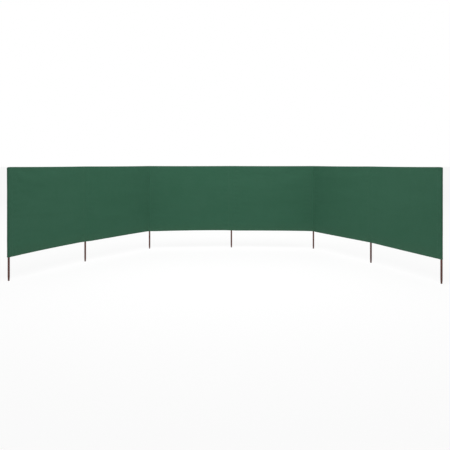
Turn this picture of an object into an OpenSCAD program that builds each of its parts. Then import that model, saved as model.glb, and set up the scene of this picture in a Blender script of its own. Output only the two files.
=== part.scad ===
// Beach windbreak: six bays of cloth on seven poles, planted in a U with two back bays and two wings.
// The origin is at the foot of the centre pole. The wings reach towards -Y, the sheltered side.

/* [Layout] */
// Distance between neighbouring poles, from axis to axis
bay_pitch = 1330; // [900:10:1600]
// Angle of bay 1, at the left end, in degrees from the X axis
bay_1_angle = 64.5; // [40:0.5:75]
// Angle of bay 2
bay_2_angle = 56; // [40:0.5:75]
// Angle of bay 3, left of the centre pole
bay_3_angle = 5; // [-20:0.5:20]
// Angle of bay 4, right of the centre pole
bay_4_angle = -5.5; // [-20:0.5:20]
// Angle of bay 5
bay_5_angle = -63.5; // [-75:0.5:-40]
// Angle of bay 6, at the right end
bay_6_angle = -70; // [-75:0.5:-40]

/* [Poles] */
// Diameter of a pole
pole_d = 25; // [18:0.5:32]
// Length of bare pole below the cloth
bare_len = 280; // [150:5:450]
// Length of the tapered tip
tip_len = 45; // [20:1:100]
// Diameter of the blunt end of the tip
tip_d = 19; // [6:0.5:22]
// Chamfer round the top of a pole
top_chamfer = 3; // [1:0.5:6]

/* [Cloth] */
// Height of the cloth at the poles
cloth_h = 1055; // [700:5:1500]
// Thickness of one layer of cloth
cloth_t = 1; // [0.5:0.1:2]
// Dip of the top edge in the middle of a bay
top_dip = 2; // [0:0.5:15]
// Rise of the bottom edge in the middle of a bay
bottom_rise = 4; // [0:0.5:30]
// Width of the hems along the top and bottom edges
hem_w = 25; // [10:1:60]

/* [Pole pockets] */
// Width of a pocket from seam to seam, measured on the cloth
pocket_w = 76; // [50:1:120]
// Width of the sewn edge on each side of a pocket
seam_w = 14; // [6:1:30]
// Height of the sloping hood that closes a pocket above its pole
hood_h = 10; // [6:1:60]
// Clearance between a pole and the cloth round it
pocket_clearance = 0.3; // [0.1:0.05:2]

/* [Hidden] */
$fn = 64;
cloth_colour = "#345c48";
pole_colour = "#62443c";
quarter_turn = 90;
half_turn = 180;
overrun = 5;
edge_steps = 16;
arc_steps = 25;

bay_angle = [
    bay_1_angle, bay_2_angle, bay_3_angle,
    bay_4_angle, bay_5_angle, bay_6_angle
];
bay_count = len(bay_angle);
pole_count = bay_count + 1;
centre_pole = bay_count / 2;

pole_r = pole_d / 2;
cloth_top = bare_len + cloth_h;
pole_len = cloth_top - hood_h - pocket_clearance;
// From a pole's axis to the back face of the cloth that passes in front of it
cloth_gap = pole_r + pocket_clearance;
// Width of the flat seam along the top of a pocket, and slope of the hood from there to the back
top_seam_w = 2 * cloth_t;
hood_slope = atan(hood_h / (2 * cloth_gap + cloth_t - top_seam_w));
// From a pole's axis along the cloth to the seam and to the outer edge of the pocket strip
seam_x = pocket_w / 2;
lap_x = seam_x + seam_w;
// Angle at which the strip leaves the cloth, and where it meets the circle round the pole
strip_slope = 2 * atan(cloth_gap / seam_x);
touch_angle = quarter_turn - strip_slope;

// Bay k runs from pole k to pole k + 1, both counted from zero at the left end
function has_left_bay(i) = i > 0;
function has_right_bay(i) = i < bay_count;
function bay_vector(k) = bay_pitch * [cos(bay_angle[k]), sin(bay_angle[k])];
function pole_place(i) =
    i == centre_pole ? [0, 0]
    : i < centre_pole ? pole_place(i + 1) - bay_vector(i)
    : pole_place(i - 1) + bay_vector(i - 1);

// Half the angle by which the cloth turns at a pole, positive when it folds towards the front
function half_bend(i) =
    has_left_bay(i) && has_right_bay(i) ? (bay_angle[i - 1] - bay_angle[i]) / 2 : 0;

function reversed(points) = [for (j = [len(points) - 1:-1:0]) points[j]];
function mirrored(points) = [for (p = points) [-p.x, p.y]];
function raised(points, rise) = [for (p = points) [p.x, p.y + rise]];
function turned(points, angle) = [
    for (p = points) [p.x * cos(angle) - p.y * sin(angle), p.x * sin(angle) + p.y * cos(angle)]
];

// Edges of a bay between its two pockets, bowed as parabolas
edge_len = bay_pitch - 2 * lap_x;
edge_x = [for (j = [0:edge_steps]) lap_x + edge_len * j / edge_steps];
function bow_share(x) = let (share = (x - lap_x) / edge_len) 4 * (share - share * share);
top_edge = [for (x = edge_x) [x, cloth_top - top_dip * bow_share(x)]];
bottom_edge = [for (x = edge_x) [x, bare_len + bottom_rise * bow_share(x)]];
cloth_outline = concat(
    [[-lap_x, bare_len]], bottom_edge, [[bay_pitch + lap_x, bare_len]],
    [[bay_pitch + lap_x, cloth_top]], reversed(top_edge), [[-lap_x, cloth_top]]
);
top_hem_outline = concat(top_edge, reversed(raised(top_edge, -hem_w)));
bottom_hem_outline = concat(bottom_edge, reversed(raised(bottom_edge, hem_w)));

// Plan of a bay's cloth, mitred at both poles so that neighbouring bays meet face to face
function mitre_x(i, depth) = depth * tan(half_bend(i));
function bay_plan(k) =
    let (near = cloth_gap - overrun, far = cloth_gap + cloth_t + overrun)
    [
        [mitre_x(k, near), -near],
        [mitre_x(k, far), -far],
        [bay_pitch - mitre_x(k + 1, far), -far],
        [bay_pitch - mitre_x(k + 1, near), -near]
    ];

// Pocket strip in plan: a sewn edge on each bay's cloth, a straight side that leaves the seam
// and the arc behind the pole. An end strip goes on round the pole and meets the front cloth.
function arc_start(i) =
    has_right_bay(i) ? bay_angle[i] + touch_angle : bay_angle[i - 1] - quarter_turn;
function arc_end(i) =
    has_left_bay(i) ? bay_angle[i - 1] + half_turn - touch_angle
    : bay_angle[i] + half_turn + quarter_turn;
function arc_points(i, layer) = [
    for (j = [0:arc_steps])
        let (angle = arc_start(i) + (arc_end(i) - arc_start(i)) * j / arc_steps)
        (cloth_gap + layer) * [cos(angle), sin(angle)]
];
function seam_point(layer) = [seam_x + layer * tan(strip_slope / 2), layer - cloth_gap];
function lap_point(layer) = [lap_x, layer - cloth_gap];
function seam_path(i, layer) = concat(
    has_right_bay(i) ? turned([seam_point(layer)], bay_angle[i]) : [],
    arc_points(i, layer),
    has_left_bay(i) ? turned(mirrored([seam_point(layer)]), bay_angle[i - 1]) : []
);
function strip_path(i, layer) = concat(
    has_right_bay(i) ? turned([lap_point(layer)], bay_angle[i]) : [],
    seam_path(i, layer),
    has_left_bay(i) ? turned(mirrored([lap_point(layer)]), bay_angle[i - 1]) : []
);
function strip_outline(i) = concat(strip_path(i, cloth_t), reversed(strip_path(i, 0)));

// Hood in plan: from the outside of the strip to the back faces of the two bays and their fold
function fold_point(i) =
    let (angle = bay_angle[i] + half_bend(i) - quarter_turn)
    cloth_gap / cos(half_bend(i)) * [cos(angle), sin(angle)];
function fold_points(i) = has_left_bay(i) && has_right_bay(i) ? [fold_point(i)] : [];
function hood_outline(i) =
    let (inner = seam_path(i, 0))
    concat(seam_path(i, cloth_t), [inner[len(inner) - 1]], fold_points(i), [inner[0]]);

module at_pole(i) {
    translate(pole_place(i)) children();
}

// Upright layer of cloth, drawn in elevation, whose back face lies at the given place
module upright_layer(back, thickness) {
    translate([0, back, 0])
        rotate([quarter_turn, 0, 0])
            linear_extrude(thickness) children();
}

// Round pole with a blunt tapered tip
module pole(i) {
    color(pole_colour)
        at_pole(i)
            rotate_extrude()
                polygon([
                    [0, 0],
                    [tip_d / 2, 0],
                    [pole_r, tip_len],
                    [pole_r, pole_len - top_chamfer],
                    [pole_r - top_chamfer, pole_len],
                    [0, pole_len]
                ]);
}

// Space above the hood, over each bay that meets the pole, sunk by the given layer
module above_hood(i, layer) {
    for (k = [i - 1, i]) {
        if (k >= 0 && k < bay_count)
            rotate([0, 0, bay_angle[k]])
                translate([0, top_seam_w - cloth_gap, cloth_h])
                    rotate([-hood_slope, 0, 0])
                        translate([-pocket_w, -overrun, -layer])
                            cube([2 * pocket_w, 2 * pocket_w + hood_h, hood_h + layer + overrun]);
    }
}

// Sloping sheet that closes the top of a pocket, with a flat seam along the cloth's top edge
module hood(i) {
    intersection() {
        linear_extrude(cloth_h) polygon(hood_outline(i));
        union() {
            above_hood(i, cloth_t);
            translate([-pocket_w, -pocket_w, cloth_h - cloth_t])
                cube([2 * pocket_w, 2 * pocket_w, cloth_t + overrun]);
        }
    }
}

// Pole pocket: a strip wrapped round the back of the pole, open below and closed by its hood
module pocket(i) {
    color(cloth_colour)
        at_pole(i)
            translate([0, 0, bare_len])
                difference() {
                    union() {
                        linear_extrude(cloth_h) polygon(strip_outline(i));
                        hood(i);
                    }
                    above_hood(i, 0);
                }
}

// Cloth of one bay with a hem turned to the back along its top and bottom edges
module panel(k) {
    color(cloth_colour)
        at_pole(k)
            rotate([0, 0, bay_angle[k]]) {
                intersection() {
                    upright_layer(-cloth_gap, cloth_t) polygon(cloth_outline);
                    translate([0, 0, bare_len - overrun])
                        linear_extrude(cloth_h + 2 * overrun) polygon(bay_plan(k));
                }
                upright_layer(cloth_t - cloth_gap, 2 * cloth_t) polygon(top_hem_outline);
                upright_layer(cloth_t - cloth_gap, 2 * cloth_t) polygon(bottom_hem_outline);
            }
}

for (i = [1:pole_count]) {
    pole(i - 1);
    pocket(i - 1);
}
for (k = [1:bay_count]) {
    panel(k - 1);
}
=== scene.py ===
import math

import bmesh
import bpy
from mathutils import Matrix, Vector, noise


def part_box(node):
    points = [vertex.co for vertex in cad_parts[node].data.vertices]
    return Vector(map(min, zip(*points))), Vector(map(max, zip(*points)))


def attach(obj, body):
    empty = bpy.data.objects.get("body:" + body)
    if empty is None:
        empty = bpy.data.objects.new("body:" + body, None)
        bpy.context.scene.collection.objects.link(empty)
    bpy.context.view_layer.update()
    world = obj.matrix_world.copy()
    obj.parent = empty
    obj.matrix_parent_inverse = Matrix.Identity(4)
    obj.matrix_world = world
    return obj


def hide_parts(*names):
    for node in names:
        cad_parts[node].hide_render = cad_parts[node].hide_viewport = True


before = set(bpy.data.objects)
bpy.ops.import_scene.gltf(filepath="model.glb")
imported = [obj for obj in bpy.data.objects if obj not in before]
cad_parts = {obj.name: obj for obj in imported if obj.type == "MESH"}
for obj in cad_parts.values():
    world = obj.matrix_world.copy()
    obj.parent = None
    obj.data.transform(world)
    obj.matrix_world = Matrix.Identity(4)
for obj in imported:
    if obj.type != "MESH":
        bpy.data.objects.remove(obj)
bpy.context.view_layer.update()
scene = bpy.context.scene
print("frame loaded,", len(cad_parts), "nodes")

poleCount = 7
bayCount = poleCount - 1


def poleSpot(number):
    low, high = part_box(f"pole_{number}")
    return Vector(((low.x + high.x) / 2, (low.y + high.y) / 2))


# where the poles stand and how high the cloth reaches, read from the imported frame
poleSpots = [poleSpot(number) for number in range(1, poleCount + 1)]
poleLow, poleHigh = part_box("pole_4")
poleRadius = (poleHigh.x - poleLow.x) / 2
poleTop = poleHigh.z
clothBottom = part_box("panel_1")[0].z
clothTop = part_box("panel_1")[1].z

cloth = {
    "thick": 0.0008,      # one layer
    "step": 0.00095,      # from one layer to the next
    "front": 0.0140,      # pole axis to the middle of the front layer
    "hem": 0.025,
    "foldOut": 0.0005,    # edge of the cloth to the middle of the folded layer
    "foldIn": 0.001,      # edge of the cloth to the row where a fold begins
    "dip": 0.002,         # top edge, middle of a bay
    "rise": (0.004, 0.003, 0.005, 0.002, 0.000, -0.003),    # bottom edge, middle of each bay
    "slant": (0.006, 0.009, 0.003, 0.008, 0.001, -0.003),   # right end of the bottom edge over the left end
    "settle": 0.11,       # distance from a pole over which the bottom edge finds its slant
    "seam": 0.038,        # pole axis to the pocket seam
    "lap": 0.052,         # pole axis to the edge of the pocket strip
    "fillet": 0.016,      # soft inside corner at a pole
    "crisp": 0.9,         # angle past which an edge stays sharp
}


class Bay:
    def __init__(self, index):
        run = poleSpots[index + 1] - poleSpots[index]
        self.index = index
        self.start = poleSpots[index]
        self.pitch = run.length
        self.along = run.normalized()
        self.back = Vector((-self.along.y, self.along.x))


bays = [Bay(index) for index in range(bayCount)]
print("bays laid out,", bayCount, "of", round(bays[0].pitch, 3), "m")


def halfBend(pole):  # half the turn of the cloth at a pole, positive towards the front
    if pole == 0 or pole == bayCount:
        return 0.0
    return bays[pole].along.angle_signed(bays[pole - 1].along) * -0.5


def smooth(edge0, edge1, value):
    t = min(max((value - edge0) / (edge1 - edge0), 0.0), 1.0)
    return t * t * (3 - 2 * t)


def bayEnds(bay):  # local x of the mitres at both poles
    return (cloth["front"] * math.tan(halfBend(bay.index)),
            bay.pitch - cloth["front"] * math.tan(halfBend(bay.index + 1)))


def frontLine(bay, x):  # middle of the front layer in plan, with sharp corners
    return bay.start + bay.along * x - bay.back * cloth["front"]


def roundCorner(corner, own, other, share):  # place and direction on the soft corner between two bays
    a, b = corner + own * cloth["fillet"], corner + other * cloth["fillet"]
    point = a * (1 - share) ** 2 + corner * (2 * share * (1 - share)) + b * share ** 2
    return point, ((corner - a) * (1 - share) + (b - corner) * share).normalized()


def planPoint(bay, x):  # middle of the front layer in plan, and its direction to the back
    x0, x1 = bayEnds(bay)
    reach = cloth["fillet"]
    if x - x0 < reach and bay.index > 0:
        share = 0.5 * (1 - (x - x0) / reach)
        point, run = roundCorner(frontLine(bay, x0), bay.along, -bays[bay.index - 1].along, share)
        return point, Vector((run.y, -run.x))
    if x1 - x < reach and bay.index < bayCount - 1:
        share = 0.5 * (1 - (x1 - x) / reach)
        point, run = roundCorner(frontLine(bay, x1), -bay.along, bays[bay.index + 1].along, share)
        return point, Vector((-run.y, run.x))
    return frontLine(bay, x), bay.back


drape = {
    "billow": (0.007, -0.005, 0.006, 0.007, -0.004, 0.006),   # bow of each bay, plus is to the back
    "billowPower": 1.3,           # how full the bow is beside the poles
    "billowPhase": (0.12, 0.7),   # half waves: at the top edge, and from there to the bottom edge
    "hold": (0.03, 0.22),         # distance from a pole over which the folds come in
    "seedStep": 7.31,             # other folds in each bay
    "folds": (                    # depth, waves along a bay, waves per metre of height, shift along, seed
        (0.00352, 1.7, 5.5, 0.0, 0.0),     # long soft folds from pole to pole
        (0.00144, 4.5, 14.0, 9.0, 3.0),    # shorter ones
    ),
    "fan": {                      # folds that fan out of the top corners
        "deep": 0.0022,
        "rays": 7.5,
        "sideTurn": 1.7,          # other rays at the right hand corner
        "stray": 0.6,
        "strayScale": 3.0,
        "begin": (0.05, 0.22),    # distance from the corner over which they come in
        "clear": (0.04, 0.16),    # the same from the pole
        "fade": 0.30,
    },
    "pucker": {                   # along the pocket seams
        "deep": 0.0007,
        "place": 0.085,           # distance from the pole
        "width": 0.05,
        "pitch": 0.071,
        "stray": 1.5,
        "strayScale": 4.0,
        "seed": 2.0,
    },
    "hemWave": {
        "deep": 0.0016,
        "waves": 6.0,             # along a bay
        "fade": 0.08,             # distance from the edge
        "topSeed": 0.3,
        "bottomSeed": 5.7,
    },
    "leastAcross": 1e-4,          # keeps the rays of a fan defined at the pole
}


def billowAt(bay, s, v):
    start, run = drape["billowPhase"]
    full = 0.5 + 0.5 * math.sin(math.pi * (start + run * (1 - v)))
    return drape["billow"][bay.index] * math.sin(math.pi * s) ** drape["billowPower"] * full


def fanAt(side, dx, dz, seed):
    fan = drape["fan"]
    r = math.hypot(dx, dz)
    turn = math.atan2(dz, max(dx, drape["leastAcross"]))
    stray = fan["stray"] * noise.noise(Vector((r * fan["strayScale"], seed, side)))
    wave = math.sin(turn * fan["rays"] + seed + side * fan["sideTurn"] + stray)
    wave *= smooth(*fan["begin"], r) * math.exp(-r / fan["fade"]) * smooth(*fan["clear"], dx)
    return fan["deep"] * wave


def puckerAt(near, z, seed):
    pucker = drape["pucker"]
    stray = pucker["stray"] * noise.noise(Vector((z * pucker["strayScale"], seed, pucker["seed"])))
    wave = math.sin(z * 2 * math.pi / pucker["pitch"] + seed + stray)
    return pucker["deep"] * wave * math.exp(-((near - pucker["place"]) / pucker["width"]) ** 2)


def hemWaveAt(s, z, seed):
    hemWave = drape["hemWave"]
    toBottom, toTop = abs(z - clothBottom), abs(clothTop - z)
    row = hemWave["topSeed"] if toTop < toBottom else hemWave["bottomSeed"]
    wave = noise.noise(Vector((s * hemWave["waves"], row, seed)))
    return hemWave["deep"] * wave * math.exp(-min(toBottom, toTop) / hemWave["fade"])


def drapeAt(bay, x, z):  # how far the cloth lies behind its flat place
    s = min(max(x / bay.pitch, 0.0), 1.0)
    v = (z - clothBottom) / (clothTop - clothBottom)
    near = min(x, bay.pitch - x)
    hold = smooth(*drape["hold"], near)
    seed = bay.index * drape["seedStep"]
    w = billowAt(bay, s, v)
    for deep, along, up, shift, extra in drape["folds"]:
        w += deep * noise.noise(Vector((s * along + shift, z * up, seed + extra))) * hold
    for side, dx in enumerate((x, bay.pitch - x)):
        w += fanAt(side, dx, clothTop - z, seed)
    return w + puckerAt(near, z, seed) + hemWaveAt(s, z, seed) * hold


def footOffset(pole):  # height of the bottom edge at a pole, shared by the bays on both sides
    ends = []
    if pole > 0:
        ends.append(cloth["slant"][pole - 1] / 2)
    if pole < bayCount:
        ends.append(-cloth["slant"][pole] / 2)
    return sum(ends) / len(ends)


def edgeHeights(bay, x):  # bottom and top edge of the cloth
    s = min(max((x - cloth["lap"]) / (bay.pitch - 2 * cloth["lap"]), 0.0), 1.0)
    bow = 4 * s * (1 - s)
    slant = cloth["slant"][bay.index]
    low = clothBottom + cloth["rise"][bay.index] * bow + slant * (s - 0.5)
    low += (footOffset(bay.index) + slant / 2) * (1 - smooth(0.0, cloth["settle"], x))
    low += (footOffset(bay.index + 1) - slant / 2) * (1 - smooth(0.0, cloth["settle"], bay.pitch - x))
    return low, clothTop - cloth["dip"] * bow


def clothPoint(bay, x, z, layer=0.0):
    point, back = planPoint(bay, x)
    point = point + back * (drapeAt(bay, x, z) + layer)
    return Vector((point.x, point.y, z))


# shader groups shared by the finishes

def newGroup(name, inputs, outputs):
    group = bpy.data.node_groups.new(name, "ShaderNodeTree")
    for socketName, socketType in inputs:
        group.interface.new_socket(socketName, in_out="INPUT", socket_type=socketType)
    for socketName in outputs:
        group.interface.new_socket(socketName, in_out="OUTPUT", socket_type="NodeSocketFloat")
    return group, group.nodes.new("NodeGroupInput"), group.nodes.new("NodeGroupOutput")


def mathNode(tree, operation, a, b=None, clamp=False):
    node = tree.nodes.new("ShaderNodeMath")
    node.operation = operation
    node.use_clamp = clamp
    for slotIndex, value in enumerate((a, b)):
        if value is None:
            continue
        if isinstance(value, (int, float)):
            node.inputs[slotIndex].default_value = value
        else:
            tree.links.new(value, node.inputs[slotIndex])
    return node.outputs[0]


def times(tree, a, b):
    return mathNode(tree, "MULTIPLY", a, b)


def weighted(tree, a, b, shares):
    return mathNode(tree, "ADD", times(tree, a, shares[0]), times(tree, b, shares[1]))


noiseRoughness = 0.55  # the same for every noise


def noiseAt(tree, vector, stretch, scale, detail):
    mapping = tree.nodes.new("ShaderNodeMapping")
    mapping.inputs["Scale"].default_value = stretch
    tree.links.new(vector, mapping.inputs["Vector"])
    texture = tree.nodes.new("ShaderNodeTexNoise")
    texture.inputs["Scale"].default_value = scale
    texture.inputs["Detail"].default_value = detail
    texture.inputs["Roughness"].default_value = noiseRoughness
    tree.links.new(mapping.outputs["Vector"], texture.inputs["Vector"])
    return texture.outputs["Fac"]


def ramp(tree, value, low, high, toLow=0.0, toHigh=1.0):
    node = tree.nodes.new("ShaderNodeMapRange")
    node.interpolation_type = "SMOOTHSTEP"
    for name, number in (("From Min", low), ("From Max", high), ("To Min", toLow), ("To Max", toHigh)):
        node.inputs[name].default_value = number
    tree.links.new(value, node.inputs["Value"])
    return node.outputs["Result"]


def mixColour(tree, factor, a, b):
    node = tree.nodes.new("ShaderNodeMix")
    node.data_type = "RGBA"
    tree.links.new(factor, node.inputs[0])
    for socket, value in ((node.inputs[6], a), (node.inputs[7], b)):  # the sockets of the two colours
        if isinstance(value, tuple):
            socket.default_value = (*value, 1.0)
        else:
            tree.links.new(value, socket)
    return node.outputs[2]


weaveLook = {
    "crossing": (-0.25, 0.25),    # soft change where one thread passes over the other
    "slubAcross": 900.0,          # thick places of the threads, per metre
    "slubAlong": 14.0,
    "slubDetail": 2.0,
    "height": (0.75, 0.5),        # of the threads and of their thick places
    "toneAndShade": (0.35, 1.5),          # the same for the colour: painted shade darkens the threads towards their edges, thick places are a lighter tone
    "toneAndShadeBase": -0.45,
}


def makeWeaveGroup():  # plain weave from thread coordinates in metres
    group, given, result = newGroup(
        "plainWeave",
        [("Threads", "NodeSocketVector"), ("Thread Width", "NodeSocketFloat")],
        ["Height", "Tint"])
    threads = given.outputs["Threads"]
    parts = group.nodes.new("ShaderNodeSeparateXYZ")
    group.links.new(threads, parts.inputs["Vector"])
    step = mathNode(group, "DIVIDE", math.pi, given.outputs["Thread Width"])
    warp = mathNode(group, "SINE", times(group, parts.outputs["X"], step))
    weft = mathNode(group, "SINE", times(group, parts.outputs["Y"], step))
    over = ramp(group, times(group, warp, weft), *weaveLook["crossing"])
    under = mathNode(group, "SUBTRACT", 1.0, over)
    warpTop = times(group, mathNode(group, "ABSOLUTE", warp), over)
    weftTop = times(group, mathNode(group, "ABSOLUTE", weft), under)
    top = mathNode(group, "ADD", warpTop, weftTop)
    across, along, detail = weaveLook["slubAcross"], weaveLook["slubAlong"], weaveLook["slubDetail"]
    slubWarp = noiseAt(group, threads, (across, along, 1.0), 1.0, detail)
    slubWeft = noiseAt(group, threads, (along, across, 1.0), 1.0, detail)
    slub = weighted(group, slubWarp, slubWeft, (0.5, 0.5))
    # colour of the threads: painted shade where they dip under each other, a lighter tone at their thick
    # places
    toneAndShade = weighted(group, top, slub, weaveLook["toneAndShade"])
    toneAndShade = mathNode(group, "ADD", toneAndShade, weaveLook["toneAndShadeBase"], clamp=True)
    group.links.new(weighted(group, top, slub, weaveLook["height"]), result.inputs["Height"])
    group.links.new(toneAndShade, result.inputs["Tint"])
    return group


weatherLook = {
    "broad": ((1.0, 1.0, 1.6), 1.4, 4.0),      # stretch, scale and detail
    "blotch": ((1.0, 1.0, 0.6), 9.0, 5.0),
    "speck": ((1.0, 1.0, 1.0), 420.0, 2.0),
    "fadeMix": (0.65, 0.35),
    "fadeRange": (0.32, 0.68),
    "speckRange": (0.52, 0.72),
    "lowStray": 0.7,                           # uneven upper limit of what gathers near the ground
    "lowRange": (0.25, 1.1),
}


def makeWeatherGroup():  # broad fading, fine dust and what gathers near the ground
    group, given, result = newGroup(
        "beachWeather",
        [("Place", "NodeSocketVector"), ("Ground", "NodeSocketFloat"), ("Reach", "NodeSocketFloat")],
        ["Fade", "Dust", "Low"])
    place = given.outputs["Place"]
    broad = noiseAt(group, place, *weatherLook["broad"])
    blotch = noiseAt(group, place, *weatherLook["blotch"])
    specks = noiseAt(group, place, *weatherLook["speck"])
    fade = weighted(group, broad, blotch, weatherLook["fadeMix"])
    parts = group.nodes.new("ShaderNodeSeparateXYZ")
    group.links.new(place, parts.inputs["Vector"])
    above = mathNode(group, "SUBTRACT", parts.outputs["Z"], given.outputs["Ground"])
    above = mathNode(group, "DIVIDE", above, given.outputs["Reach"])
    above = mathNode(group, "ADD", above, times(group, blotch, weatherLook["lowStray"]))
    group.links.new(ramp(group, fade, *weatherLook["fadeRange"]), result.inputs["Fade"])
    group.links.new(ramp(group, specks, *weatherLook["speckRange"]), result.inputs["Dust"])
    group.links.new(ramp(group, above, *weatherLook["lowRange"], 1.0, 0.0), result.inputs["Low"])
    return group


grainLook = {
    "wide": ((1.0, 1.0, 0.018), 150.0, 4.0),   # stretch, scale and detail
    "fine": ((1.0, 1.0, 0.012), 620.0, 3.0),
    "pore": ((1.0, 1.0, 0.03), 1100.0, 2.0),
    "streakMix": (0.6, 0.4),
    "streakRange": (0.34, 0.66),
    "poreRange": (0.58, 0.72),
    "poreDepth": 0.6,
}


def makeGrainGroup():  # long grain along Z
    group, given, result = newGroup(
        "poleGrain",
        [("Place", "NodeSocketVector")],
        ["Streak", "Pore", "Height"])
    place = given.outputs["Place"]
    wide = noiseAt(group, place, *grainLook["wide"])
    fine = noiseAt(group, place, *grainLook["fine"])
    streak = weighted(group, wide, fine, grainLook["streakMix"])
    pore = ramp(group, noiseAt(group, place, *grainLook["pore"]), *grainLook["poreRange"])
    height = mathNode(group, "SUBTRACT", streak, times(group, pore, grainLook["poreDepth"]))
    group.links.new(ramp(group, streak, *grainLook["streakRange"]), result.inputs["Streak"])
    group.links.new(pore, result.inputs["Pore"])
    group.links.new(height, result.inputs["Height"])
    return group


weaveGroup = makeWeaveGroup()
weatherGroup = makeWeatherGroup()
grainGroup = makeGrainGroup()


def newFinish(name):
    material = bpy.data.materials.new(name)
    material.use_nodes = True
    tree = material.node_tree
    return material, tree, next(n for n in tree.nodes if n.type == "BSDF_PRINCIPLED")


def placeGroup(tree, group, links, values=()):
    node = tree.nodes.new("ShaderNodeGroup")
    node.node_tree = group
    for name, socket in links:
        tree.links.new(socket, node.inputs[name])
    for name, value in values:
        node.inputs[name].default_value = value
    return node.outputs


def bumpFrom(tree, shader, height, strength, distance):
    bump = tree.nodes.new("ShaderNodeBump")
    bump.inputs["Strength"].default_value = strength
    bump.inputs["Distance"].default_value = distance
    tree.links.new(height, bump.inputs["Height"])
    tree.links.new(bump.outputs["Normal"], shader.inputs["Normal"])


greenCloth = {
    "deep": (0.0216, 0.0794, 0.0453),
    "light": (0.0342, 0.1172, 0.0687),
    "faded": (0.0370, 0.1130, 0.0700),
    "sand": (0.30, 0.25, 0.17),
    "threadWidth": 0.0011,
    "panelWear": (0.35, 0.06),    # share of fading and of dust
    "pocketWear": (0.25, 0.08),
    "dustReach": 0.22,            # above the bottom edge
    "specks": 0.8,                # share of the dust in specks, the rest is an even film
    "roughness": (0.2, 1.0, 0.92, 0.78),   # lowest and highest thread, and how rough they are
    "specular": 0.14,
    "bump": (0.35, 0.0004),       # strength and distance
}


def makeClothFinish(name, fadeShare, dustShare):
    material, tree, shader = newFinish(name)
    coords = tree.nodes.new("ShaderNodeTexCoord").outputs
    weave = placeGroup(tree, weaveGroup, [("Threads", coords["UV"])],
                       [("Thread Width", greenCloth["threadWidth"])])
    weather = placeGroup(tree, weatherGroup, [("Place", coords["Object"])],
                         [("Ground", clothBottom), ("Reach", greenCloth["dustReach"])])
    # thread colour from deep to light, with painted shade in the hollows of the weave
    colour = mixColour(tree, weave["Tint"], greenCloth["deep"], greenCloth["light"])
    colour = mixColour(tree, times(tree, weather["Fade"], fadeShare), colour, greenCloth["faded"])
    specks = times(tree, weather["Dust"], greenCloth["specks"])
    specks = mathNode(tree, "ADD", specks, 1 - greenCloth["specks"])
    dust = times(tree, times(tree, weather["Low"], specks), dustShare)
    colour = mixColour(tree, dust, colour, greenCloth["sand"])
    tree.links.new(colour, shader.inputs["Base Color"])
    tree.links.new(ramp(tree, weave["Height"], *greenCloth["roughness"]), shader.inputs["Roughness"])
    shader.inputs["Specular IOR Level"].default_value = greenCloth["specular"]
    bumpFrom(tree, shader, weave["Height"], *greenCloth["bump"])
    return material


hemThread = {
    "dark": (0.030, 0.095, 0.058),
    "light": (0.050, 0.140, 0.090),
    "twist": ((1.0, 1.0, 1.0), 900.0, 2.0),    # stretch, scale and detail
    "twistRange": (0.35, 0.65),
    "roughness": 0.6,
    "bump": (0.4, 0.0003),        # strength and distance
}


def makeThreadFinish():
    material, tree, shader = newFinish("hemThread")
    place = tree.nodes.new("ShaderNodeTexCoord").outputs["Object"]
    twist = noiseAt(tree, place, *hemThread["twist"])
    shade = ramp(tree, twist, *hemThread["twistRange"])
    colour = mixColour(tree, shade, hemThread["dark"], hemThread["light"])
    tree.links.new(colour, shader.inputs["Base Color"])
    shader.inputs["Roughness"].default_value = hemThread["roughness"]
    bumpFrom(tree, shader, twist, *hemThread["bump"])
    return material


stain = {
    "dark": (0.045, 0.018, 0.014),
    "mid": (0.084, 0.029, 0.0225),
    "warm": (0.127, 0.0445, 0.0335),
    "raw": (0.24, 0.15, 0.10),
    "poreShare": 0.75,
    "fadeShare": 0.35,
    "wornReach": 0.05,            # above the ground
    "wornStreak": 0.3,            # share of bare wood on the streaks and between them
    "wornBase": 0.05,
    "roughness": (0.1, 0.7, 0.62, 0.42),   # lowest and highest grain, and how rough it is there
    "specular": 0.35,
    "bump": (0.3, 0.0005),        # strength and distance
}


def makePoleFinish():
    material, tree, shader = newFinish("stainedPole")
    place = tree.nodes.new("ShaderNodeTexCoord").outputs["Object"]
    grain = placeGroup(tree, grainGroup, [("Place", place)])
    weather = placeGroup(tree, weatherGroup, [("Place", place)],
                         [("Ground", 0.0), ("Reach", stain["wornReach"])])
    colour = mixColour(tree, grain["Streak"], stain["mid"], stain["warm"])
    colour = mixColour(tree, times(tree, grain["Pore"], stain["poreShare"]), colour, stain["dark"])
    colour = mixColour(tree, times(tree, weather["Fade"], stain["fadeShare"]), colour, stain["dark"])
    worn = mathNode(tree, "ADD", times(tree, grain["Streak"], stain["wornStreak"]), stain["wornBase"])
    colour = mixColour(tree, times(tree, weather["Low"], worn), colour, stain["raw"])
    tree.links.new(colour, shader.inputs["Base Color"])
    tree.links.new(ramp(tree, grain["Height"], *stain["roughness"]), shader.inputs["Roughness"])
    shader.inputs["Specular IOR Level"].default_value = stain["specular"]
    bumpFrom(tree, shader, grain["Height"], *stain["bump"])
    return material


panelFinish = makeClothFinish("windbreakCloth", *greenCloth["panelWear"])
pocketFinish = makeClothFinish("pocketCloth", *greenCloth["pocketWear"])
threadFinish = makeThreadFinish()
poleFinish = makePoleFinish()
print("finishes made")


def keepPiece(name, bm, finish, nodes=()):
    mesh = bpy.data.meshes.new(name)
    bm.to_mesh(mesh)
    bm.free()
    piece = bpy.data.objects.new(name, mesh)
    scene.collection.objects.link(piece)
    mesh.materials.append(finish)
    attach(piece, "root")
    if nodes:
        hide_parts(*nodes)
    return piece


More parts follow.
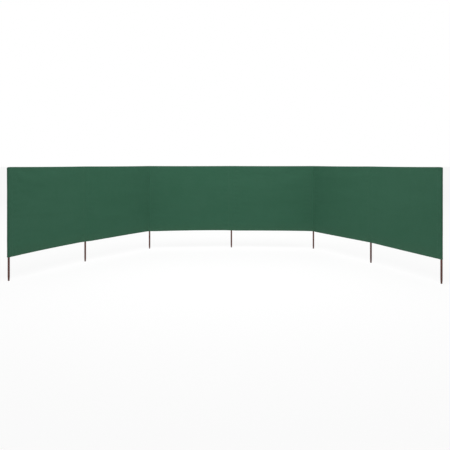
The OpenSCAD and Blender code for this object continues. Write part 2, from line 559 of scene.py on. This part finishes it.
def thicken(bm):  # a second skin behind the first, joined round the rim, half the thickness to each side
    bm.normal_update()
    facing = bm.verts.layers.float_vector.new("facing")
    for vert in bm.verts:
        vert[facing] = vert.normal
    front = bm.verts[:]
    grown = bmesh.ops.extrude_face_region(bm, geom=bm.faces[:], use_keep_orig=True)["geom"]
    behind = [item for item in grown if isinstance(item, bmesh.types.BMVert)]
    for verts, side in ((front, 0.5), (behind, -0.5)):
        for vert in verts:
            vert.co += vert[facing] * (cloth["thick"] * side)
    bm.verts.layers.float_vector.remove(facing)
    bmesh.ops.recalc_face_normals(bm, faces=bm.faces[:])


def softenFaces(bm, limit):  # smooth faces, with edges sharper than the limit kept crisp
    for face in bm.faces:
        face.smooth = True
    for edge in bm.edges:
        if edge.is_manifold and edge.calc_face_angle() > limit:
            edge.smooth = False


def layCloth(columnCount, rowCount, placeAt):  # placeAt gives a point and its thread coordinates
    bm = bmesh.new()
    bmesh.ops.create_grid(bm, x_segments=columnCount - 1, y_segments=rowCount - 1, size=0.5)
    uvs = bm.loops.layers.uv.new("UVMap")
    threads = {}
    for vert in bm.verts:
        column = round((vert.co.x + 0.5) * (columnCount - 1))
        row = round((vert.co.y + 0.5) * (rowCount - 1))
        vert.co, threads[vert] = placeAt(column, row)
    for face in bm.faces:
        for loop in face.loops:
            loop[uvs].uv = threads[loop.vert]
    thicken(bm)
    softenFaces(bm, cloth["crisp"])
    return bm


def foldTurn(count):  # distance from the edge, and layer, round a fold from the back to the front
    radius = cloth["step"] / 2
    angles = [math.pi * (j + 1) / (count + 1) for j in range(count)]
    return [(cloth["foldOut"] + radius - radius * math.sin(angle), radius + radius * math.cos(angle))
            for angle in angles]


# cloth of the six bays

panelGrid = {
    "columns": 97,
    "rows": 73,           # between the folds
    "hemRows": 3,
    "foldRows": 5,
    "crowd": 0.09,        # draws the columns together towards the poles
}


def panelRows():  # from the free edge of the bottom hem, round the fold, up and over to the top hem
    hem, steps = cloth["hem"], panelGrid["hemRows"] - 1
    turned = [(hem - (hem - cloth["foldIn"]) * j / steps, cloth["step"]) for j in range(steps + 1)]
    turned += foldTurn(panelGrid["foldRows"])
    steps = panelGrid["rows"] - 1
    rows = [("bottom", *row) for row in turned]
    rows += [("between", j / steps, 0.0) for j in range(steps + 1)]
    return rows + [("top", *row) for row in reversed(turned)]


def rowHeight(bay, x, kind, value):
    low, high = edgeHeights(bay, x)
    if kind == "bottom":
        return low + value
    if kind == "top":
        return high - value
    return low + cloth["foldIn"] + (high - low - 2 * cloth["foldIn"]) * value


def makePanel(bay):
    rows = panelRows()
    x0, x1 = bayEnds(bay)

    def placeAt(column, row):
        kind, value, layer = rows[row]
        share = column / (panelGrid["columns"] - 1)
        x = x0 + (x1 - x0) * (share - panelGrid["crowd"] * math.sin(2 * math.pi * share))
        z = rowHeight(bay, x, kind, value)
        return clothPoint(bay, x, z, layer), (bay.index * bay.pitch + x, z)

    bm = layCloth(panelGrid["columns"], len(rows), placeAt)
    return keepPiece(f"cloth_bay_{bay.index + 1}", bm, panelFinish, [f"panel_{bay.index + 1}"])


# pole pockets: strips sewn to the back of the cloth

pocketCut = {
    "radius": poleRadius + 0.00055,   # pole axis to the middle of the strip
    "bottomHem": 0.012,
    "neck": 0.0095,       # below the top edge: the strip starts to close over the pole
    "seat": 0.0042,       # below the top edge: the closed strip turns up into its seam
    "drawn": 0.3,         # share of the seam width taken by the gathered arc
    "frontLap": 0.012,    # end strips overlap the front of the cloth
    "frontTurn": (0.45, 1.0),     # part of the arc over which they come forward
    "footEase": (0.03, 0.10),     # above the bottom edge: the strip leaves the slant of the bays
    "hemEase": 0.004,     # past its edge the hem still lifts the strip
    "endEase": 0.001,     # closed strip to the end of the cloth
    "tabOut": 0.0155,     # flat corner outside an end pole
    "tabRound": 0.8,      # power that rounds the end of the corner
    "tabFold": (0.40, 0.60),      # part of the arc that turns round its end
    "tabPinch": 0.5,      # share of its turn over which the corner's two layers come together
    "tabPress": 2 / 3,    # share of their distance that is pressed out
    "slack": 0.0016,      # loose cloth round the back of a pole
    "slackBase": 0.55,    # share of it between the folds
    "slackRound": 0.7,    # power that brings it in beside the seams
    "slackFolds": (       # share, waves round the pole, seed of a pole, waves per metre of height, seed
        (1.0, 2.6, 4.7, 1.9, 3.3),
        (0.45, 5.0, 2.9, 7.0, 8.1),
    ),
    "endSlack": (0.0078, 0.0014),   # bulge outside the first and the last pole
    "endFoot": 0.75,      # share of it at the bottom edge
    "endPlace": 0.56,     # where on the arc it is, and how wide
    "endWidth": 0.2,
    "belly": 0.0010,      # between the seam and the pole
    "bellyStray": 0.0014,
    "bellySeed": 5.3,
    "bellyWaves": 5.0,    # per metre of height
    "folds": 3.0,         # gathers round the pole
    "foldStray": 0.15,    # uneven places of the gathers
    "foldSeed": 2.3,
    "foldDrift": 5.0,
    "pleat": 0.0020,      # depth of the gathers in the closed top
    "pleatSink": 0.3,     # share of them that lies below the plain top
    "gather": 0.0011,     # the same folds dying out down the strip
    "gatherFade": 0.06,
    "rows": 65,           # from the bottom fold to the neck
    "foldRows": 3,
    "hoodRows": 10,
    "seamRows": 2,
    "lapSteps": 4,
    "sideSteps": 7,
    "arcSteps": 20,
    "endArcSteps": 26,
    "frontSteps": 3,
    "threadsHeight": 0.8,   # height at which the strip's width is taken
    "threadsShift": 0.2,    # other threads on each strip
}


def pocketSide(pole, side):  # the bay on that side, and a way to turn strip places into bay places
    bay = bays[pole] if side > 0 else bays[pole - 1]
    return bay, (lambda x: x) if side > 0 else (lambda x: bay.pitch - x)


def heading(bay):
    return math.atan2(bay.along.y, bay.along.x)


def wrapRange(pole):  # plan angles at which the strip reaches and leaves the pole
    depth = cloth["front"] - cloth["step"]
    touch = math.acos(pocketCut["radius"] / math.hypot(cloth["seam"], depth))
    touch -= math.atan2(depth, cloth["seam"])
    if pole == 0:
        return heading(bays[0]) + touch, heading(bays[0]) + 1.5 * math.pi
    if pole == bayCount:
        return heading(bays[-1]) - 0.5 * math.pi, heading(bays[-1]) + math.pi - touch
    return heading(bays[pole]) + touch, heading(bays[pole - 1]) + math.pi - touch


def endSide(pole):  # side on which an end pole has its bay, none for the others
    return 1 if pole == 0 else -1 if pole == bayCount else 0


def pocketColumns(pole):  # stations along the strip, from the right hand edge to the left hand one
    lapSteps, sideSteps, frontSteps = pocketCut["lapSteps"], pocketCut["sideSteps"], pocketCut["frontSteps"]
    arcSteps = pocketCut["endArcSteps"] if endSide(pole) else pocketCut["arcSteps"]
    seam, lap = cloth["seam"], cloth["lap"]
    edges = [("lap", lap + (seam - lap) * j / lapSteps) for j in range(lapSteps)]
    edges += [("side", 1 - j / sideSteps) for j in range(sideSteps)]
    tail = [("front", pocketCut["frontLap"] * (j + 1) / frontSteps) for j in range(frontSteps)]
    rightEdge = tail[::-1] if endSide(pole) < 0 else edges
    leftEdge = tail if endSide(pole) > 0 else edges[::-1]
    stations = [(kind, 1, value) for kind, value in rightEdge]
    stations += [("arc", 0, j / arcSteps) for j in range(arcSteps + 1)]
    return stations + [(kind, -1, value) for kind, value in leftEdge]


def foldWave(pole, share):  # gathers round the pole, the same ones all the way down
    stray = pocketCut["foldStray"] * math.sin(pole * pocketCut["foldSeed"] + share * pocketCut["foldDrift"])
    return 0.5 + 0.5 * math.cos(2 * math.pi * (share * pocketCut["folds"] + stray))


def slackAt(pole, share, z):  # soft upright folds that come and go along the strip
    loose = pocketCut["slackBase"]
    for weight, waves, poleSeed, up, seed in pocketCut["slackFolds"]:
        loose += weight * noise.noise(Vector((share * waves + pole * poleSeed, z * up, seed)))
    below = max(clothTop - pocketCut["neck"] - z, 0.0)
    gather = pocketCut["gather"] * foldWave(pole, share) * math.exp(-below / pocketCut["gatherFade"])
    loose = pocketCut["slack"] * max(loose, 0.0)
    return (loose + gather) * math.sin(math.pi * share) ** pocketCut["slackRound"]


def aroundPole(pole, share, z, out):
    spot, side = poleSpots[pole], endSide(pole)
    startAngle, endAngle = wrapRange(pole)
    angle = startAngle + (endAngle - startAngle) * share
    r = pocketCut["radius"] + out + slackAt(pole, share, z)
    if side:  # an end strip comes round and on to the front of the cloth
        away = share if side > 0 else 1 - share
        r += (cloth["front"] + cloth["step"] - pocketCut["radius"]) * smooth(*pocketCut["frontTurn"], away)
        foot = pocketCut["endFoot"]
        loose = pocketCut["endSlack"][0 if side > 0 else 1]
        loose *= foot + (1 - foot) * smooth(clothBottom, clothTop, z)
        r += loose * math.exp(-((away - pocketCut["endPlace"]) / pocketCut["endWidth"]) ** 2)
    return Vector((spot.x + math.cos(angle) * r, spot.y + math.sin(angle) * r, z))


def drawnFlat(pole, station, z, out):  # the same place with the strip pressed on the back of the top hem
    kind, side, value = station
    behind = cloth["step"] * 2 + out
    share = pocketCut["drawn"]
    if not endSide(pole):
        across = cloth["seam"] * share * (1 - 2 * value)
        if kind == "side":
            across = side * cloth["seam"] * (share + (1 - share) * value)
        bay, place = pocketSide(pole, 1 if across >= 0 else -1)
        mitre = cloth["front"] * math.tan(halfBend(pole))
        return clothPoint(bay, place(mitre + (1 - mitre / cloth["seam"]) * abs(across)), z, behind)
    bay, place = pocketSide(pole, endSide(pole))
    if kind == "side":
        return clothPoint(bay, place(max(cloth["seam"] * value, pocketCut["endEase"])), z, behind)
    away = value if endSide(pole) > 0 else 1 - value
    turn = math.sin(math.pi * away)
    reach = pocketCut["tabOut"] * max(turn, 0.0) ** pocketCut["tabRound"]
    middle = (behind - cloth["step"] - out) / 2
    spread = 1 - pocketCut["tabPress"] * smooth(0.0, pocketCut["tabPinch"], turn)
    layer = middle + (behind - middle) * spread * (1 - 2 * smooth(*pocketCut["tabFold"], away))
    spot = poleSpots[pole] - bay.along * (reach * endSide(pole)) - bay.back * (cloth["front"] - layer)
    return Vector((spot.x, spot.y, z))


def footShift(pole, station):  # the strip's lower edge goes with the bays on both sides
    kind, side, value = station
    if kind == "arc":
        return footOffset(pole)
    bay, place = pocketSide(pole, endSide(pole) if kind == "front" else side)
    return edgeHeights(bay, place(value * cloth["seam"] if kind == "side" else value))[0] - clothBottom


def besidePole(pole, side, value, z, out, layers):  # the slightly slack cloth between the seam and the pole
    bay, place = pocketSide(pole, side)
    leave = aroundPole(pole, 0.0 if side > 0 else 1.0, z, out)
    point = leave.lerp(clothPoint(bay, place(cloth["seam"]), z, layers), value)
    stray = noise.noise(Vector((z * pocketCut["bellyWaves"], pole * pocketCut["bellySeed"], side)))
    belly = pocketCut["belly"] + pocketCut["bellyStray"] * stray
    outward = Vector((point.x - poleSpots[pole].x, point.y - poleSpots[pole].y, 0)).normalized()
    return point + outward * (math.sin(math.pi * value) * belly)


# out is the distance past the strip's own layer, close is how far the strip is drawn to the cloth
def pocketPoint(pole, station, z, out=0.0, close=0.0):
    kind, side, value = station
    easeLow, easeHigh = pocketCut["footEase"]
    z += footShift(pole, station) * (1 - smooth(clothBottom + easeLow, clothBottom + easeHigh, z))
    inHem = min(z - clothBottom, clothTop - z) < cloth["hem"] + pocketCut["hemEase"]
    layers = cloth["step"] * (2 if inHem else 1) + out
    if kind in ("lap", "front"):
        bay, place = pocketSide(pole, side if kind == "lap" else endSide(pole))
        return clothPoint(bay, place(value), z, layers if kind == "lap" else -cloth["step"] - out)
    if kind == "side":
        wrapped = besidePole(pole, side, value, z, out, layers)
        wave = math.sin(math.pi * value) ** 2
    else:
        wrapped = aroundPole(pole, value, z, out)
        wave = foldWave(pole, value)
    if close == 0:
        return wrapped
    lift = pocketCut["pleat"] * math.sin(math.pi * close) * (wave - pocketCut["pleatSink"])
    return wrapped.lerp(drawnFlat(pole, station, z, out), close) + Vector((0, 0, lift))


def pocketRows():  # height, how far outside the strip, how far closed
    hem, hoodRows, seamRows = pocketCut["bottomHem"], pocketCut["hoodRows"], pocketCut["seamRows"]
    low = clothBottom + cloth["foldIn"]
    neck, seat = clothTop - pocketCut["neck"], clothTop - pocketCut["seat"]
    rows = [(z, cloth["step"], 0.0) for z in (clothBottom + hem, clothBottom + hem * 0.5, low)]
    rows += [(clothBottom + up, layer, 0.0) for up, layer in foldTurn(pocketCut["foldRows"])]
    steps = pocketCut["rows"] - 1
    rows += [(low + (neck - low) * j / steps, 0.0, 0.0) for j in range(steps + 1)]
    for j in range(hoodRows):
        turn = 0.5 * math.pi * (j + 1) / hoodRows
        rows.append((neck + (seat - neck) * math.sin(turn), 0.0, 1 - math.cos(turn)))
    top = clothTop - cloth["foldIn"]
    return rows + [(seat + (top - seat) * (j + 1) / seamRows, 0.0, 1.0) for j in range(seamRows)]


def runLengths(points):  # length along a row of points, up to each of them
    lengths = [0.0]
    for a, b in zip(points, points[1:]):
        lengths.append(lengths[-1] + (b - a).length)
    return lengths


def makePocket(pole):
    stations, rows = pocketColumns(pole), pocketRows()
    back = stations[len(stations) // 2]
    across = runLengths([pocketPoint(pole, station, pocketCut["threadsHeight"]) for station in stations])
    upward = runLengths([pocketPoint(pole, back, *row) for row in rows])

    def placeAt(column, row):
        threads = (across[column] + pole * pocketCut["threadsShift"], upward[row])
        return pocketPoint(pole, stations[column], *rows[row]), threads

    bm = layCloth(len(stations), len(rows), placeAt)
    piece = keepPiece(f"pocket_strip_{pole + 1}", bm, pocketFinish, [f"pocket_{pole + 1}"])
    return piece, (across[-1], upward[-1])


# stitches as short lengths of thread that dip into the cloth at both ends

stitch = {
    "pitch": 0.0055,
    "length": 0.0044,
    "width": 0.0010,
    "proud": 0.0004,
    "endTaper": (0.6, 0.55),      # width and height of its ends
    "feel": 0.002,                # half the length over which its direction is taken
    "hemInsets": (0.004, 0.022),  # from the edge of the cloth
    "seamInset": 0.002,           # from the seam
    "edgeInset": 0.003,           # from the edge of a strip or hem
    "topInset": 0.0035,           # seam over a pole, from the top edge
    "topStop": 0.004,             # its end, from the pole axis
    "endGap": 0.002,              # from the top and bottom edges
    "crisp": 1.2,
}


def stitchShape():
    bm = bmesh.new()
    bmesh.ops.create_cube(bm, size=1.0)
    lengthwise = [e for e in bm.edges if abs(e.verts[0].co.x - e.verts[1].co.x) > 0.5]
    bmesh.ops.subdivide_edges(bm, edges=lengthwise, cuts=1, use_grid_fill=True)
    ends = [vert for vert in bm.verts if abs(vert.co.x) > 0.25]
    bmesh.ops.scale(bm, verts=ends, vec=(1.0, *stitch["endTaper"]))
    mesh = bpy.data.meshes.new("stitchShape")
    bm.to_mesh(mesh)
    bm.free()
    return mesh


stitchMesh = stitchShape()


def addStitch(bm, centre, along, out, deep):
    across = out.cross(along).normalized()
    turn = Matrix((along * stitch["length"], across * stitch["width"], out * deep)).transposed().to_4x4()
    turn.translation = centre
    known = len(bm.verts)
    bm.from_mesh(stitchMesh)
    bm.verts.ensure_lookup_table()
    bmesh.ops.transform(bm, matrix=turn, verts=bm.verts[known:])


def runStitches(bm, pathAt, length, layerCount, outAt):
    count = int(length / stitch["pitch"])
    deep = cloth["step"] * (layerCount - 1) + cloth["thick"] + 2 * stitch["proud"]
    for j in range(count):
        at = (j + 0.5) * length / count
        a, b = pathAt(at - stitch["feel"]), pathAt(at + stitch["feel"])
        along = (b - a).normalized()
        out = outAt(at)
        out = (out - along * out.dot(along)).normalized()
        addStitch(bm, (a + b) / 2, along, out, deep)


def makeHemStitches(bay):
    x0, x1 = bayEnds(bay)
    bm = bmesh.new()

    def outAt(at):
        return planPoint(bay, x0 + at)[1].to_3d()

    def hemLine(top, inset):
        def pathAt(at):
            low, high = edgeHeights(bay, x0 + at)
            return clothPoint(bay, x0 + at, high - inset if top else low + inset, cloth["step"] / 2)
        return pathAt

    for top in (False, True):
        for inset in stitch["hemInsets"]:
            runStitches(bm, hemLine(top, inset), x1 - x0, 2, outAt)
    softenFaces(bm, stitch["crisp"])
    return keepPiece(f"hem_stitches_{bay.index + 1}", bm, threadFinish)


def stitchSide(bm, pole, side):  # the seams that hold a strip to the bay on one side
    bay, place = pocketSide(pole, side)
    hem, step, seam = cloth["hem"], cloth["step"], cloth["seam"]
    inset, gap = stitch["edgeInset"], stitch["endGap"]

    def outAt(at):
        return bay.back.to_3d()

    def upright(x, low, layer):
        return lambda at: clothPoint(bay, place(x), low + at, layer)

    def topSeam(at):
        return clothPoint(bay, place(seam - at), clothTop - stitch["topInset"], step)

    for x in (seam + stitch["seamInset"], cloth["lap"] - inset):
        foot = edgeHeights(bay, place(x))[0]
        runs = ((foot + gap, foot + hem, 3),  # low end, high end and layers
                (foot + hem + inset, clothTop - hem - inset, 2),
                (clothTop - hem, clothTop - gap, 3))
        for low, high, layers in runs:
            runStitches(bm, upright(x, low, step * (layers - 1) / 2), high - low, layers, outAt)
    runStitches(bm, topSeam, seam - stitch["topStop"], 3, outAt)
    if endSide(pole):  # the lap on the front of the cloth
        frontSeam = upright(pocketCut["frontLap"] - inset, foot + gap, -step / 2)
        runStitches(bm, frontSeam, clothTop - foot - 2 * gap, 2, outAt)


def alongStrip(pole, z, out):  # places along the wrapped strip by length
    points = [pocketPoint(pole, station, z, out) for station in pocketColumns(pole)]
    lengths = runLengths(points)

    def spanAt(at):
        k = max(j for j in range(len(points) - 1) if lengths[j] <= max(at, 0.0))
        return k, (at - lengths[k]) / (lengths[k + 1] - lengths[k])

    def pathAt(at):
        k, share = spanAt(at)
        return points[k].lerp(points[k + 1], share)

    def outAt(at):
        k = spanAt(at)[0]
        run = points[k + 1] - points[k]
        return Vector((run.y, -run.x, 0)).normalized()

    return pathAt, outAt, lengths[-1]


def makeSeamStitches(pole):
    bm = bmesh.new()
    for side in (1, -1):
        if side != -endSide(pole):
            stitchSide(bm, pole, side)
    hemHeight = clothBottom + pocketCut["bottomHem"] - stitch["edgeInset"]
    pathAt, outAt, length = alongStrip(pole, hemHeight, cloth["step"] / 2)
    runStitches(bm, pathAt, length, 2, outAt)
    softenFaces(bm, stitch["crisp"])
    return keepPiece(f"pocket_stitches_{pole + 1}", bm, threadFinish)


panels = [makePanel(bay) for bay in bays]
print("cloth bays made")
hemStitches = [makeHemStitches(bay) for bay in bays]
pocketsMade = [makePocket(pole) for pole in range(poleCount)]
seamStitches = [makeSeamStitches(pole) for pole in range(poleCount)]
print("pockets and stitches made")

# poles, turned from a profile

poleTurn = {
    "steps": 48,          # round the pole
    "rings": 8,           # along the shaft
    "ringsShort": 0.06,   # they cover the height of the pole less this
    "tipRadius": 0.0095,
    "tipLength": 0.045,
    "tipRim": ((-0.0012, 0.0), (-0.0003, 0.00042), (0.0001, 0.0012)),   # past the tip's radius, and up
    "shoulder": 0.0005,   # softens the upper end of the taper
    "shoulderEase": 0.06,
    "topChamfer": 0.003,
    "topRim": ((0.0, 1.0), (0.3, 0.45), (1.0, 0.0)),   # shares of the chamfer, inwards and down
    "merge": 1e-6,        # closes the two ends on the axis
    "crisp": 0.7,
}


def poleProfile():  # radius and height, from the middle of the tip to the middle of the top
    r, tip, length = poleRadius, poleTurn["tipRadius"], poleTurn["tipLength"]
    ease, chamfer, rings = poleTurn["shoulderEase"], poleTurn["topChamfer"], poleTurn["rings"]
    shaft = length * (1 + ease)
    profile = [(0.0, 0.0)] + [(tip + past, up) for past, up in poleTurn["tipRim"]]
    profile += [((tip + r) / 2, length / 2), (r - poleTurn["shoulder"], length * (1 - ease)), (r, shaft)]
    profile += [(r, shaft + (poleTop - poleTurn["ringsShort"]) * j / rings) for j in range(1, rings)]
    profile += [(r - chamfer * inward, poleTop - chamfer * down) for inward, down in poleTurn["topRim"]]
    return profile + [(0.0, poleTop)]


def makePole(number):
    spot = poleSpots[number - 1]
    bm = bmesh.new()
    verts = [bm.verts.new((x, 0.0, z)) for x, z in poleProfile()]
    edges = [bm.edges.new(pair) for pair in zip(verts, verts[1:])]
    bmesh.ops.spin(bm, geom=verts + edges, axis=(0, 0, 1), cent=(0, 0, 0), angle=2 * math.pi,
                   steps=poleTurn["steps"], use_merge=True)
    bmesh.ops.remove_doubles(bm, verts=bm.verts[:], dist=poleTurn["merge"])
    bmesh.ops.recalc_face_normals(bm, faces=bm.faces[:])
    bmesh.ops.translate(bm, verts=bm.verts[:], vec=(spot.x, spot.y, 0))
    softenFaces(bm, poleTurn["crisp"])
    keepPiece(f"turned_pole_{number}", bm, poleFinish, [f"pole_{number}"])


for number in range(1, poleCount + 1):
    makePole(number)
print("poles made")


# floor, light and camera

stageSet = {
    "floorSize": 400.0,
    "floorColour": (0.86, 0.86, 0.86),
    "floorRoughness": 0.9,
    "whiteShare": 0.85,   # how much of the floor the camera sees as plain white
    "worldLight": 0.55,
    "lamps": {            # place, width and power
        "softLeft": ((-1.5, -2.2, 4.5), 3.0, 92.0),
        "softRight": ((1.5, -2.2, 4.5), 3.0, 87.0),
        "softBack": ((0.0, 8.0, 6.0), 7.0, 340.0),
    },
    "lampTarget": (0.0, -0.8, 0.7),
}


def seenDirectly(tree):  # camera, glossy and transmission rays see the plain white backdrop
    path = tree.nodes.new("ShaderNodeLightPath")
    seen = mathNode(tree, "MAXIMUM", path.outputs["Is Camera Ray"], path.outputs["Is Glossy Ray"])
    return mathNode(tree, "MAXIMUM", seen, path.outputs["Is Transmission Ray"])


def mixShaders(tree, factor, usual, seen):
    mix = tree.nodes.new("ShaderNodeMixShader")
    for slotIndex, socket in enumerate((factor, usual, seen)):
        tree.links.new(socket, mix.inputs[slotIndex])
    return mix.outputs[0]


def makeFloor():
    bm = bmesh.new()
    bmesh.ops.create_grid(bm, x_segments=1, y_segments=1, size=stageSet["floorSize"] / 2)
    mesh = bpy.data.meshes.new("floor")
    bm.to_mesh(mesh)
    bm.free()
    floor = bpy.data.objects.new("floor", mesh)
    scene.collection.objects.link(floor)
    material, tree, shader = newFinish("paleFloor")
    shader.inputs["Base Color"].default_value = (*stageSet["floorColour"], 1.0)
    shader.inputs["Roughness"].default_value = stageSet["floorRoughness"]
    white = tree.nodes.new("ShaderNodeEmission")
    white.inputs["Strength"].default_value = 1.0
    share = times(tree, seenDirectly(tree), stageSet["whiteShare"])
    output = next(n for n in tree.nodes if n.type == "OUTPUT_MATERIAL")
    tree.links.new(mixShaders(tree, share, shader.outputs[0], white.outputs[0]), output.inputs["Surface"])
    mesh.materials.append(material)


def makeWorld():
    world = bpy.data.worlds.new("softSky")
    scene.world = world
    world.use_nodes = True
    tree = world.node_tree
    tree.nodes.clear()
    light = tree.nodes.new("ShaderNodeBackground")
    white = tree.nodes.new("ShaderNodeBackground")
    for node, strength in ((light, stageSet["worldLight"]), (white, 1.0)):
        node.inputs["Color"].default_value = (1, 1, 1, 1)
        node.inputs["Strength"].default_value = strength
    output = tree.nodes.new("ShaderNodeOutputWorld")
    sky = mixShaders(tree, seenDirectly(tree), light.outputs[0], white.outputs[0])
    tree.links.new(sky, output.inputs["Surface"])


def makeLamp(name, place, width, power):
    data = bpy.data.lights.new(name, "AREA")
    data.shape = "DISK"
    data.size = width
    data.energy = power
    lamp = bpy.data.objects.new(name, data)
    scene.collection.objects.link(lamp)
    lamp.location = place
    aim = Vector(stageSet["lampTarget"]) - lamp.location
    lamp.rotation_euler = aim.to_track_quat("-Z", "Y").to_euler()


photoView = {
    "place": (-0.1047, -8.4875, 1.3768),
    "lens": 41.395,
    "sensor": 36.0,
    "shiftY": -0.1369,
    "clipEnd": 1000.0,
}


def makeCamera():
    data = bpy.data.cameras.new("photoView")
    data.sensor_width = photoView["sensor"]
    data.lens = photoView["lens"]
    data.shift_y = photoView["shiftY"]
    data.clip_end = photoView["clipEnd"]
    camera = bpy.data.objects.new("photoView", data)
    scene.collection.objects.link(camera)
    camera.location = photoView["place"]
    camera.rotation_euler = (math.pi / 2, 0, 0)
    scene.camera = camera


makeFloor()
makeWorld()
for lampName, lampValues in stageSet["lamps"].items():
    makeLamp(lampName, *lampValues)
makeCamera()
scene.view_settings.view_transform = "Standard"
print("stage set")
